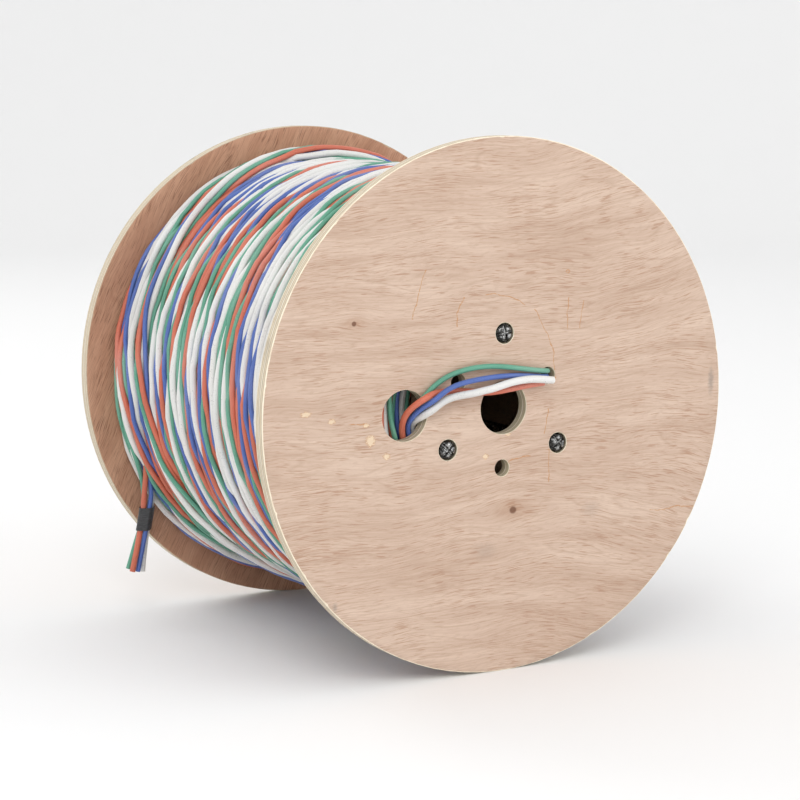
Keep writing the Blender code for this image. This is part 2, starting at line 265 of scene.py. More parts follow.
class Nodes:
    """A short way to write a node material."""

    def __init__(self, name):
        self.material = bpy.data.materials.new(name)
        self.material.use_nodes = True
        self.tree = self.material.node_tree
        self.shader = self.tree.nodes["Principled BSDF"]

    def add(self, kind, inputs=None, **settings):
        node = self.tree.nodes.new("ShaderNode" + kind)
        for key, value in settings.items():
            setattr(node, key, value)
        for key, value in (inputs or {}).items():
            self.put(node, key, value)
        return node

    def put(self, node, key, value):
        socket = node.inputs[key]
        if isinstance(value, bpy.types.NodeSocket):
            self.tree.links.new(value, socket)
        else:
            socket.default_value = value

    def finish(self, **inputs):
        """The material, with its shader's inputs linked or set."""
        for key, value in inputs.items():
            self.put(self.shader, key.replace("_", " "), value)
        return self.material

    def vector_math(self, operation, *values, result="Vector"):
        node = self.add("VectorMath", dict(enumerate(values)), operation=operation)
        return node.outputs[result]

    def place(self):
        """Object coordinates in mm from the reel's middle."""
        where = self.add("TexCoord").outputs["Object"]
        return self.scaled(self.vector_math("SUBTRACT", where, tuple(MIDDLE)), [1 / MM] * 3)

    def scaled(self, vector, scale):
        return self.vector_math("MULTIPLY", vector, scale)

    def noise(self, vector, scale, detail=3.0, roughness=0.5):
        return self.add("TexNoise", {
            "Vector": vector, "Scale": scale, "Detail": detail, "Roughness": roughness,
        }).outputs["Fac"]

    def math(self, operation, one, two=0.0, clamp=False):
        node = self.add("Math", {0: one, 1: two}, operation=operation)
        node.use_clamp = clamp
        return node.outputs[0]

    def times(self, one, two):
        return self.math("MULTIPLY", one, two)

    def plus(self, one, two):
        return self.math("ADD", one, two)

    def minus(self, one, two):
        return self.math("SUBTRACT", one, two)

    def over(self, one, two):
        return self.math("DIVIDE", one, two)

    def grain(self, along, across, stretch, scale, detail, roughness=0.5):
        """Noise across the grain, drawn out along it: the smaller stretch is, the longer."""
        return self.noise(self.join(self.times(along, stretch), across), scale, detail, roughness)

    def ramp(self, factor, *stops):
        """A colour ramp; each stop is (place, colour or grey)."""
        node = self.add("ValToRGB", {"Fac": factor})
        stops = [(p, (c, c, c, 1) if isinstance(c, (int, float)) else (*c, 1)) for p, c in stops]
        elements = node.color_ramp.elements
        while len(elements) < len(stops):
            elements.new(0.5)
        for element, (place, colour) in zip(elements, stops):
            element.position = place
            element.color = colour
        return node.outputs["Color"]

    def between(self, value, start, end, at_start, at_end):
        """A smooth change from at_start to at_end as a value goes from start to end."""
        node = self.add("MapRange", {
            "Value": value, "From Min": start, "From Max": end, "To Min": at_start,
            "To Max": at_end}, interpolation_type="SMOOTHSTEP")
        return node.outputs[0]

    def mix(self, factor, one, two):
        node = self.add("Mix", data_type="RGBA")
        for key, value in ((0, factor), (6, one), (7, two)):
            if isinstance(value, tuple) and len(value) == 3:
                value = (*value, 1)
            self.put(node, key, value)
        return node.outputs[2]

    def split(self, vector):
        """A place's x and z."""
        parts = self.add("SeparateXYZ", {0: vector}).outputs
        return parts["X"], parts["Z"]

    def join(self, x, z):
        return self.add("CombineXYZ", {"X": x, "Z": z}).outputs[0]

    def from_centre(self, place, x, z, wide=1.0, high=1.0):
        """The way from (x, z) to a place on a face, with its x and z in units of wide and high."""
        shifted = self.vector_math("SUBTRACT", place, (x, 0, z))
        return self.scaled(shifted, (1 / wide, 0, 1 / high))

    def distance(self, place, x, z, wide=1.0, high=1.0):
        way = self.from_centre(place, x, z, wide, high)
        return self.vector_math("LENGTH", way, result="Value")

    def facing(self, place, x, z, degrees):
        """The cosine of the angle between the way from (x, z) and a direction."""
        way = self.vector_math("NORMALIZE", self.from_centre(place, x, z))
        aim = (cos(radians(degrees)), 0, sin(radians(degrees)))
        return self.vector_math("DOT_PRODUCT", way, aim, result="Value")

    def bump(self, height, strength, distance):
        """A bump in the surface's normal, its distance in metres."""
        return self.add("Bump", {
            "Height": height, "Strength": strength, "Distance": distance}).outputs["Normal"]


JACKET_COLOURS = {
    "green": (0.120, 0.360, 0.250),
    "blue": (0.085, 0.150, 0.440),
    "orange": (0.620, 0.160, 0.095),
    "white": (0.755, 0.750, 0.730),
}


def jacket_material(colour):
    """Satin PVC with faint mottling and scuffs."""
    n = Nodes("jacket_" + colour)
    place = n.place()
    base = JACKET_COLOURS[colour]
    lighter = tuple(c + (1 - c) * 0.10 for c in base)
    darker = tuple(c * 0.88 for c in base)
    tone = n.ramp(n.noise(place, 0.012, 3), (0.35, darker), (0.5, base), (0.68, lighter))
    fine = n.noise(place, 0.9, 4, 0.65)
    scuffed = n.ramp(n.noise(place, 0.10, 3), (0.45, 0.15), (0.60, 1.0))
    specks = n.times(n.ramp(fine, (0.56, 0.0), (0.66, 0.55)), scuffed)
    return n.finish(
        Base_Color=n.mix(specks, tone, tuple(c * 0.42 for c in base)),
        Roughness=n.ramp(n.noise(place, 0.25, 2), (0.3, 0.34), (0.7, 0.50)),
        Specular_IOR_Level=0.45, Normal=n.bump(fine, 0.22, 0.0004))


# Places on the front face are x and z from the axle
KNOTS = ((-128.4, 70.2, 5.0), (8.9, -79.3, 9.0))    # with the reach of their swirl
CHIPS = (                                           # with half width and half height
    (-168.2, 7.1, 4.2, 2.0), (-146.9, 0.4, 3.0, 2.0), (-115.0, -16.3, 3.9, 4.2),
    (-101.5, -28.9, 3.0, 2.4), (-16.0, -36.1, 2.6, 2.1), (-118.5, -4.6, 2.7, 1.5),
    (4.0, -20.9, 2.3, 1.4),
)
SCRATCHES = (                     # centre x and z, radius, middle angle and half the arc's angle
    (20.0, 62.0, 99.0, 164, 11), (-14.0, 66.0, 28.0, 162, 24), (-14.0, 22.0, 64.0, 76, 17),
    (-32.0, 20.0, 78.0, 20, 22), (57.0, 100.0, 2.0, 90, 179), (160.0, 68.0, 103.0, 180, 7),
    (170.0, 60.0, 100.0, 176, 6), (-40.0, -8.0, 79.0, 356, 7), (-20.0, -50.0, 62.0, 2, 12),
    (22.0, -74.0, 36.0, 108, 22), (-125.0, -40.0, 38.0, 92, 10), (160.0, -420.0, 328.0, 90, 4),
)
SMUDGES = (                                         # with half width, half height and strength
    (194.8, 7.0, 4.0, 15.0, 0.5), (80.6, -85.3, 12.0, 9.0, 0.16), (-15.5, -108.4, 14.0, 9.0, 0.16),
    (-145.0, -137.0, 3.0, 5.0, 0.4),
)
CHIP_DEPTH = 0.35
CHIP_SIDES = 18
PLY_BOUNDARIES = (0.8, 3.1, 5.5, 7.9, 10.3)         # depths below the inner face


def veneer_grain(n, place, lean, spread):
    """Coordinates along and across the grain, bent round the knots and fanned out to one side."""
    turned = n.add(
        "VectorRotate", {"Vector": place, "Angle": radians(lean)}, rotation_type="Y_AXIS")
    along, across = n.split(turned.outputs[0])
    reach = n.over(n.math("MAXIMUM", along, 0.0), FLANGE_RADIUS)
    fan = n.plus(n.times(n.times(reach, reach), spread), 1.0)
    across = n.over(across, fan)
    for x, z, swirl in KNOTS:
        away = n.distance(place, x, z, 3.4 * swirl, 1.7 * swirl)
        fall = n.math("POWER", 2.718, n.times(n.times(away, away), -1.0))
        pinch = n.times(n.minus(across, z), n.times(fall, -0.75))
        across = n.plus(across, pinch)
    slow = n.grain(along, across, 0.35, 0.012, 3)
    across = n.plus(across, n.times(n.minus(slow, 0.5), 46.0))
    return along, across


def veneer_material(name, pale, mid, dark, pore, lean=0.0, spread=0.0, marked=False, figure=0.3):
    """Rotary-cut veneer: growth bands, fine streaks, short open pores and a rippled figure."""
    n = Nodes(name)
    place = n.place()
    along, across = veneer_grain(n, place, lean, spread)

    bands = n.grain(along, across, 0.10, 0.060, 4, 0.60)
    tone = n.ramp(bands, (0.26, dark), (0.46, mid), (0.62, pale))
    streaks = n.grain(along, across, 0.022, 0.95, 4, 0.70)
    tone = n.mix(0.36, tone, n.ramp(streaks, (0.36, dark), (0.50, mid), (0.62, pale)))
    lines = n.math("FRACT", n.times(n.grain(along, across, 0.09, 0.03, 2), 15.0))
    tone = n.mix(n.ramp(lines, (0.0, 0.42), (0.10, 0.08), (0.90, 0.0), (1.0, 0.38)), tone, dark)

    pores = n.grain(along, across, 0.042, 1.45, 2, 0.5)
    crowd = n.grain(along, across, 0.3, 0.05, 2)
    open_pore = n.ramp(n.plus(pores, n.times(crowd, 0.34)), (0.53, 1.0), (0.60, 0.0))
    tone = n.mix(n.times(open_pore, 0.62), tone, pore)

    ripple_place = n.join(
        n.plus(along, n.times(across, 1.9)), n.minus(across, n.times(along, 0.18)))
    ripple = n.noise(n.scaled(ripple_place, (0.16, 1, 1)), 0.55, 3, 0.6)
    tone = n.mix(n.ramp(ripple, (0.52, 0.0), (0.66, figure)), tone, dark)

    if marked:
        tone = veneer_marks(n, place, tone)
    height = n.minus(streaks, n.times(open_pore, 0.9))
    return n.finish(
        Base_Color=tone, Roughness=n.ramp(streaks, (0.3, 0.82), (0.7, 0.64)),
        Specular_IOR_Level=0.28, Normal=n.bump(height, 0.18, 0.0003))


def veneer_marks(n, place, tone):
    """Knots, torn chips, thin scratches, smudges and a worn rim on the front face."""
    wobble = n.noise(place, 0.45, 3)
    wide_wobble = n.noise(place, 0.06, 3)
    torn = n.noise(n.scaled(place, (0.7, 1.0, 1.3)), 0.75, 4, 0.65)
    for x, z, swirl in KNOTS:
        away = n.distance(place, x, z, 0.36 * swirl + 0.6, 0.30 * swirl + 0.8)
        halo = n.distance(place, x, z, 3.2 * swirl, 1.5 * swirl)
        tone = n.mix(n.between(halo, 0.0, 1.0, 0.34, 0.0), tone, (0.40, 0.22, 0.13))
        tone = n.mix(n.between(away, 0.55, 1.0, 0.85, 0.0), tone, (0.16, 0.07, 0.04))
    for x, z, wide, high in CHIPS:
        edge = n.plus(n.distance(place, x, z, wide, high), n.times(torn, 2.1))
        tone = n.mix(n.between(edge, 1.95, 2.20, 0.55, 0.0), tone, (0.56, 0.30, 0.14))
        tone = n.mix(n.between(edge, 1.80, 1.98, 1.0, 0.0), tone, (0.76, 0.60, 0.43))
    broken = n.between(wobble, 0.38, 0.50, 0.35, 1.0)
    for x, z, radius, middle, half in SCRATCHES:
        bent = n.plus(n.times(n.minus(wide_wobble, 0.5), 9.0), radius)
        off = n.math("ABSOLUTE", n.minus(n.distance(place, x, z), bent))
        thin = n.times(n.between(off, 0.22, 0.55, 1.0, 0.0), broken)
        facing = n.facing(place, x, z, middle)
        within = n.math("GREATER_THAN", facing, cos(radians(half)))
        tone = n.mix(n.times(n.times(thin, within), 0.80), tone, (0.52, 0.26, 0.11))
    for x, z, wide, high, depth in SMUDGES:
        away = n.plus(n.distance(place, x, z, wide, high), n.times(wobble, 0.8))
        tone = n.mix(n.between(away, 0.5, 1.4, depth, 0.0), tone, (0.20, 0.19, 0.18))
    rim = n.minus(n.distance(place, 0, 0), FLANGE_RADIUS)
    worn = n.plus(rim, n.times(n.noise(place, 0.09, 4, 0.7), 5.0))
    return n.mix(n.between(worn, 2.9, 3.6, 0.0, 0.7), tone, (0.78, 0.65, 0.47))


def ply_edge_material():
    """The plies' edges round the rim and in the holes, with dark glue lines between them."""
    n = Nodes("ply_edges")
    place = n.place()
    across = n.add("SeparateXYZ", {0: place}).outputs["Y"]
    depth = n.minus(n.math("ABSOLUTE", across), INNER_FACE)
    ragged = n.noise(n.scaled(place, (0.5, 0.1, 0.5)), 0.5, 3)
    depth = n.plus(depth, n.times(n.minus(ragged, 0.5), 0.55))

    stops = [(0.0, (0.60, 0.38, 0.25))]
    tones = (
        (0.96, 0.87, 0.70), (0.86, 0.74, 0.55), (0.97, 0.89, 0.74), (0.85, 0.73, 0.54),
        (0.96, 0.87, 0.70))
    for boundary, colour in zip(PLY_BOUNDARIES, tones):
        glue = tuple(c * 0.45 for c in colour)
        share = boundary / THICKNESS
        stops += [(share - 0.022, glue), (share + 0.008, colour)]
    tone = n.ramp(n.over(depth, THICKNESS), *stops)
    run = n.noise(n.scaled(place, (0.05, 1.0, 0.05)), 2.2, 4, 0.65)
    tone = n.mix(n.ramp(run, (0.34, 0.50), (0.54, 0.0)), tone, (0.55, 0.38, 0.23))
    specks = n.noise(place, 1.6, 3, 0.6)
    tone = n.mix(n.ramp(specks, (0.60, 0.0), (0.74, 0.45)), tone, (0.93, 0.86, 0.70))
    dirt = n.noise(place, 0.035, 4, 0.6)
    tone = n.mix(n.ramp(dirt, (0.60, 0.0), (0.78, 0.55)), tone, (0.30, 0.27, 0.22))
    radius = n.distance(place, 0, 0)
    bored = n.math("LESS_THAN", radius, FLANGE_RADIUS * 0.8)
    ply = n.math("SINE", n.times(n.plus(depth, 1.7), 2 * pi / 4.8))
    shade = n.between(ply, -0.35, 0.35, 0.16, 0.62)
    tone = n.mix(n.times(bored, shade), tone, (0.33, 0.29, 0.18))
    return n.finish(
        Base_Color=tone, Roughness=0.85, Specular_IOR_Level=0.2,
        Normal=n.bump(n.plus(run, specks), 0.5, 0.0004))


def steel_material(name, colour, roughness, stain_and_shade_colour, painted_edge_shade=0.0):
    """Plated steel with a mottled sheen from its roughness, dull stains in patches with the
    brighter plating between them partly standing in as painted highlights, and painted shade
    darkening the sloping edge round each bolt head.
    """
    n = Nodes(name)
    place = n.place()
    mottle = n.noise(place, 0.34, 4, 0.55)
    nearest = 1000.0
    for x, z in BOLT_PLACES:
        nearest = n.math("MINIMUM", n.distance(place, x, z), nearest)
    # Dark stain patches; the bright plating left between them partly stands in as painted
    # highlights
    stain_and_highlight_patches = n.between(mottle, 0.42, 0.56, 0.0, 0.85)
    # Painted shade: the colour darkens towards the dark colour on each bolt head's sloping rim,
    # 4.2 to 6.8 mm from its centre
    edges = n.between(nearest, 4.2, 6.8, 0.0, painted_edge_shade)
    stain_and_shade_mask = n.math("ADD", stain_and_highlight_patches, edges, clamp=True)
    return n.finish(
        Base_Color=n.mix(stain_and_shade_mask, colour, stain_and_shade_colour), Metallic=1.0,
        Roughness=n.ramp(mottle, (0.35, roughness), (0.75, roughness + 0.22)),
        Normal=n.bump(n.noise(place, 0.8, 3), 0.10, 0.0003))


def kraft_material():
    """Wound brown fibreboard, with the seam of its outermost strip running round it."""
    n = Nodes("kraft_board")
    place = n.place()
    x, y, z = n.add("SeparateXYZ", {0: place}).outputs
    turn = n.over(n.math("ARCTAN2", z, x), 2 * pi)
    strip = n.math("FRACT", n.plus(turn, n.over(y, 95.0)))
    seam = n.ramp(strip, (0.0, 1.0), (0.012, 0.0), (0.985, 0.0), (1.0, 1.0))
    fibres = n.noise(n.scaled(place, (1, 0.35, 1)), 0.8, 5, 0.7)
    tone = n.ramp(fibres, (0.30, (0.20, 0.125, 0.070)), (0.70, (0.36, 0.24, 0.145)))
    return n.finish(
        Base_Color=n.mix(n.times(seam, 0.7), tone, (0.10, 0.06, 0.03)), Roughness=0.88,
        Normal=n.bump(n.minus(fibres, seam), 0.4, 0.0005))


def tape_material():
    """Black vinyl with a fine embossed surface and stretch marks along its wrap."""
    n = Nodes("tape_vinyl")
    place = n.place()
    grain = n.noise(place, 3.2, 2)
    stretch = n.noise(n.scaled(place, (0.25, 0.25, 1)), 1.1, 3)
    return n.finish(
        Base_Color=n.ramp(stretch, (0.35, (0.020, 0.021, 0.023)), (0.70, (0.055, 0.056, 0.060))),
        Roughness=n.ramp(stretch, (0.3, 0.34), (0.7, 0.55)),
        Normal=n.bump(n.plus(grain, stretch), 0.3, 0.0003))


# ---- flanges

RIM_STEPS = 720
FACE_SPACING = 5.0              # between the points that a face is triangulated from
FACE_WAVES = 0.22               # how far a face sinks between its high places
ARBOR_DIAMETER = 40.3
PIN_DIAMETER = 12.7
PIN_PLACES = ((39.6, 21.7), (-39.8, 21.6), (-1.1, -46.1))
START_DIAMETER = 38.1
START_PLACE = (-86.0, 0.0)
BOLT_PLACES = ((0.5, 56.1), (-49.0, -28.4), (49.1, -30.8))
BOLT_HOLE = 8.8
COUNTERBORE = 15.9
COUNTERBORE_DEPTH = 3.0
TORN_PLACES = 26                # round each rim
OUTER_FINISH, EDGE_FINISH, INNER_FINISH = range(3)      # a flange's materials
HOLE_MOUTHS = (                 # share of the depth, and how much wider the hole is there
    (0, 0.45), (0.04, 0.12), (0.25, 0), (0.5, 0.0), (0.75, 0), (0.96, 0.12), (1, 0.45))


def wavy(angle, seed, waves):
    """A smooth periodic function of an angle, about -1 to 1."""
    random = np.random.default_rng(seed)
    total = np.zeros_like(angle)
    for wave in waves:
        total += random.uniform(0.4, 1) * np.sin(wave * angle + random.uniform(0, 2 * pi))
    return total / sqrt(len(waves))


def rim_rings(side, seed):
    """The rim from the inner face to the outer one: plies a little uneven, with torn places."""
    random = np.random.default_rng(seed)
    angle = even_angles(RIM_STEPS)
    depths = np.concatenate(([0, 0.35], PLY_BOUNDARIES, [THICKNESS - 0.35, THICKNESS]))
    inset = np.concatenate(([0.7, 0.12], np.zeros(len(PLY_BOUNDARIES)), [0.12, 0.7]))
    rings = []
    for row, (depth, shrink) in enumerate(zip(depths, inset)):
        ply = 0.10 + 0.10 * wavy(angle, seed + row, (3, 11, 37, 90, 171))
        radius = FLANGE_RADIUS - shrink - np.maximum(ply, 0)
        rings.append(polar_points(angle, side * (INNER_FACE + depth), radius))
    rings = np.array(rings)
    for _ in range(TORN_PLACES):
        middle = random.uniform(0, 2 * pi)
        width = random.uniform(0.006, 0.022)
        bite = random.uniform(0.3, 1.3)
        rows = (0, 1) if random.random() < 0.4 else (-2, -1)
        off = np.abs((angle - middle + pi) % (2 * pi) - pi) / width
        ragged = random.uniform(0.5, 1, RIM_STEPS)
        torn = 1 - bite / FLANGE_RADIUS * np.clip(1 - off, 0, 1) * ragged
        for row, share in zip(rows, (1.0, 0.7) if rows[0] == 0 else (0.7, 1.0)):
            rings[row][:, [0, 2]] *= (1 - (1 - torn) * share)[:, None]
    return rings


def hole_rings(side, place, diameter, seed, near=0.0, far=THICKNESS):
    """A drilled hole's wall from depth near to depth far, frayed a little at its mouths."""
    angle = even_angles(max(40, int(diameter * 3.2)))
    rings = []
    for step, flare in HOLE_MOUTHS:
        rough = 0.05 * wavy(angle, seed + int(step * 90), (5, 13, 29))
        radius = diameter / 2 + flare + rough * (3 if flare > 0.3 else 1)
        depth = near + (far - near) * step
        rings.append(polar_points(angle, side * (INNER_FACE + depth), radius, place))
    return np.array(rings)


def counterbore_rings(side, place, seed):
    """A bolt hole with its counterbore in the outer face."""
    floor = THICKNESS - COUNTERBORE_DEPTH
    narrow = hole_rings(side, place, BOLT_HOLE, seed, 0.0, floor)[:-2]
    narrow[-1, :, 1] = side * (INNER_FACE + floor)
    wide = hole_rings(side, place, COUNTERBORE, seed + 7, floor)[2:]
    wide[0, :, 1] = side * (INNER_FACE + floor)
    angle = even_angles(wide.shape[1])
    steps = narrow.shape[1]
    known = np.arange(steps + 1) * 2 * pi / steps
    resampled = []
    for ring in narrow:
        radius = np.hypot(ring[:, 0] - place[0], ring[:, 2] - place[1])
        radius = np.interp(angle, known, np.append(radius, radius[0]))
        resampled.append(polar_points(angle, ring[0, 1], radius, place))
    return np.concatenate((resampled, wide))


def face_points(loops, chips):
    """Points of a jittered grid inside a face, clear of its loops, and each chip's outline."""
    random = np.random.default_rng(5)
    steps = np.arange(-FLANGE_RADIUS, FLANGE_RADIUS, FACE_SPACING)
    grid = np.stack(np.meshgrid(steps, steps), -1).reshape(-1, 2)
    grid += random.uniform(-0.3, 0.3, grid.shape) * FACE_SPACING
    keep = np.hypot(*grid.T) < FLANGE_RADIUS - 4
    for place, radius in loops:
        keep &= np.hypot(*(grid - place).T) > radius + 2.5
    points, depths = [], []
    for x, z, wide, high in chips:
        keep &= np.hypot(*((grid - (x, z)) / (wide + 2, high + 2)).T) > 1
        angle = even_angles(CHIP_SIDES)
        ragged = 0.9 + 0.14 * wavy(angle, int(x * 7) % 97, (2, 3, 5))
        for scale, depth in ((1.0, 0.0), (0.82, 1.0), (0.45, 1.0)):
            points.append(np.stack((
                x + wide * scale * ragged * np.cos(angle),
                z + high * scale * ragged * np.sin(angle)), 1))
            depths.append(np.full(CHIP_SIDES, depth * CHIP_DEPTH))
    grid = grid[keep]
    x, z = grid.T
    points.append(grid)
    depths.append(FACE_WAVES * np.abs(np.sin(x / 37 + 1) * np.sin(z / 29 + x / 90)))
    return np.concatenate(points), np.concatenate(depths)


def inside_loop(places, loop):
    """Which places lie inside a loop whose points go round its middle by even angles."""
    middle = (loop.max(0) + loop.min(0)) / 2
    way = places - middle
    spokes = loop - middle
    turn = np.arctan2(spokes[:, 1], spokes[:, 0])
    limit = np.interp(
        np.arctan2(way[:, 1], way[:, 0]), turn, np.hypot(*spokes.T), period=2 * pi)
    return np.hypot(*way.T) < limit


def triangulate(outline, holes, inner):
    """Triangles over the area between an outline and its holes, as indices into one point list."""
    loops = [outline] + holes
    points = np.concatenate(loops + [inner])
    edges, start = [], 0
    for loop in loops:
        edges += [(start + i, start + (i + 1) % len(loop)) for i in range(len(loop))]
        start += len(loop)
    coordinates = [Vector(p) for p in points.tolist()]
    verts, _, faces, origins, _, _ = delaunay_2d_cdt(coordinates, edges, [], 0, 1e-7)
    source = [origin[0] for origin in origins]
    centres = np.array([sum((verts[i] for i in face), Vector((0, 0))) / 3 for face in faces])
    keep = inside_loop(centres, outline)
    for hole in holes:
        keep &= ~inside_loop(centres, hole)
    return [[source[i] for i in face] for face, kept in zip(faces, keep) if kept]


def make_flange(name, side, chips, finishes):
    """A plywood disc: rim, holes and two faces joined into one closed skin.

    The front one, on side -1, has the start hole and the counterbores.
    """
    holes = [((0, 0), ARBOR_DIAMETER, 50 + side)]
    holes += [(place, PIN_DIAMETER, 60 + number) for number, place in enumerate(PIN_PLACES)]
    stacks = [rim_rings(side, 40 + side)] + [hole_rings(side, *hole) for hole in holes]
    loops = [(place, diameter / 2) for place, diameter, _ in holes]
    for number, place in enumerate(BOLT_PLACES):
        if side < 0:
            stacks.append(counterbore_rings(side, place, 70 + number))
        else:
            stacks.append(hole_rings(side, place, BOLT_HOLE, 70 + number))
        loops.append((place, COUNTERBORE / 2))
    if side < 0:
        stacks.append(hole_rings(side, START_PLACE, START_DIAMETER, 80))
        loops.append((START_PLACE, START_DIAMETER / 2))

    verts, faces, slots, base = [], [], [], 0
    first_rows, last_rows = [], []
    for rings in stacks:
        rows, sides = rings.shape[:2]
        verts.append(rings.reshape(-1, 3))
        quads = ring_quads(rows, sides, base=base)
        faces += quads
        slots += [EDGE_FINISH] * len(quads)
        first_rows.append(np.arange(base, base + sides))
        last_rows.append(np.arange(base + (rows - 1) * sides, base + rows * sides))
        base += rows * sides
    for rows, y, inwards, marks, slot in (
            (first_rows, side * INNER_FACE, side, (), INNER_FINISH),
            (last_rows, side * OUTER_FACE, -side, chips, OUTER_FINISH)):
        known = np.concatenate(verts)
        rings_2d = [known[row][:, [0, 2]] for row in rows]
        inner, depths = face_points(loops, marks)
        extra = np.stack((inner[:, 0], y + inwards * depths, inner[:, 1]), 1)
        index = np.concatenate(rows + [np.arange(base, base + len(extra))])
        verts.append(extra)
        base += len(extra)
        triangles = triangulate(rings_2d[0], rings_2d[1:], inner)
        faces += [[int(index[i]) for i in triangle] for triangle in triangles]
        slots += [slot] * len(triangles)
    mesh = new_mesh(name, np.concatenate(verts), faces, 40)
    add_piece(name + "_plywood", mesh, finishes, name)
    mesh.polygons.foreach_set("material_index", slots)


# ---- bolts, washers and nuts

BOLT_SIDES = 72
HEAD_RADIUS = 7.2
HEAD_PROUD = 1.6
HEAD_DROP = 2.4                 # from the head's top to its edge
HEAD_TURNS = (10, 47, 33)       # how each cross recess is turned
HEAD_ROWS = 34
RECESS_DEPTH = 2.1
RECESS_RISE = 0.16              # share of the head's radius in which the recess runs out
ARM_WIDTH = 1.1
PETAL_HEIGHT = 0.25             # how far the head swells between the recess's arms
BOLT_RADIUS = 3.97
THREAD_PITCH = 1.41
THREAD_DEPTH = 0.45
THREAD_LENGTH = 17.0
NUT_FLATS = 12.7
NUT_HEIGHT = 6.75
NUT_CONE = 0.9                  # how far down the corners are turned
WASHER_THICKNESS = 1.6
WASHER_RADIUS = 11.0
GAP = 0.3
REAR_PROUD = GAP + WASHER_THICKNESS + GAP + NUT_HEIGHT + 1.6


def make_tie_bolt(number, place, turn, finish):
    """A domed cross-recess head, a long shank and a threaded end, row by row along its skin."""
    angle = even_angles(BOLT_SIDES)
    rows = []

    def row(radius, y):
        rows.append(polar_points(angle, y, radius, place))

    top = -OUTER_FACE - HEAD_PROUD
    turned = angle - radians(turn)
    for reach in np.linspace(0.02, 1, HEAD_ROWS):
        radius = HEAD_RADIUS * reach
        off_arm = np.minimum(np.abs(radius * np.cos(turned)), np.abs(radius * np.sin(turned)))
        fade = np.clip((1.0 - reach) / RECESS_RISE, 0, 1) * 0.75 + 0.25
        recess = np.exp(-(off_arm / ARM_WIDTH) ** 4) * fade
        swell = exp(-((reach - 0.6) / 0.25) ** 2)
        petal = PETAL_HEIGHT * np.sin(2 * turned) ** 2 * swell
        row(radius, top + HEAD_DROP * reach ** 4 + RECESS_DEPTH * recess - petal + 0.15)
    under = -OUTER_FACE + COUNTERBORE_DEPTH - GAP
    row(HEAD_RADIUS, under - 0.3)
    row(HEAD_RADIUS - 0.3, under)
    row(BOLT_RADIUS, under)
    tip = OUTER_FACE + REAR_PROUD
    thread_start = tip - THREAD_LENGTH
    for y in np.linspace(under + 2, thread_start - 1, 12):
        row(BOLT_RADIUS, y)
    for y in np.arange(thread_start, tip - 0.9, THREAD_PITCH / 8):
        wave = np.abs(((angle / (2 * pi) + y / THREAD_PITCH) % 1) * 2 - 1)
        row(BOLT_RADIUS - THREAD_DEPTH * wave, y)
    row(BOLT_RADIUS - 0.7, tip - 0.35)
    row(BOLT_RADIUS - 1.2, tip)
    name = f"tie_bolt_{number}"
    mesh = ring_mesh(name, np.array(rows), degrees=55)
    add_piece(name + "_steel", mesh, [finish], name)


def make_washer(number, place, finish):
    """A flat ring with rounded edges."""
    start = OUTER_FACE + GAP
    end = start + WASHER_THICKNESS
    inner, outer, edge = BOLT_HOLE / 2, WASHER_RADIUS, 0.35
    profile = (
        (start, inner + edge), (start, outer - edge * 1.6),
        (start + edge * 0.6, outer - edge * 0.4), (start + WASHER_THICKNESS * 0.5, outer),
        (end - edge * 0.6, outer - edge * 0.4), (end, outer - edge * 1.6),
        (end, inner + edge), (end - edge, inner), (start + edge, inner),
    )
    name = f"washer_{number}"
    mesh = ring_mesh(name, turned_rings(profile, BOLT_SIDES, place), closed=True)
    add_piece(name + "_zinc", mesh, [finish], name)


def make_nut(number, place, turn, finish):
    """A hexagon whose corners are turned down to a cone at both ends."""
    start = OUTER_FACE + GAP + WASHER_THICKNESS + GAP
    angle = even_angles(BOLT_SIDES)
    flats = NUT_FLATS / 2 / np.cos((angle - radians(turn)) % (pi / 3) - pi / 6)
    bore = BOLT_RADIUS + 0.12
    rows = [(bore + 0.5, 0.0)]
    rise = np.linspace(0, NUT_CONE, 6)
    for height in (*rise, NUT_HEIGHT / 2, *(NUT_HEIGHT - rise[::-1])):
        cone = NUT_FLATS / 2 - 0.05 + 1.9 * min(height, NUT_HEIGHT - height)
        rows.append((np.minimum(flats, cone), height))
    rows += [(bore + 0.5, NUT_HEIGHT), (bore, NUT_HEIGHT - 0.5), (bore, 0.5)]
    rings = np.array([
        polar_points(angle, start + height, radius, place) for radius, height in rows])
    name = f"nut_{number}"
    mesh = ring_mesh(name, rings, closed=True, degrees=25)
    add_piece(name + "_zinc", mesh, [finish], name)


# ---- cords: leads and tails

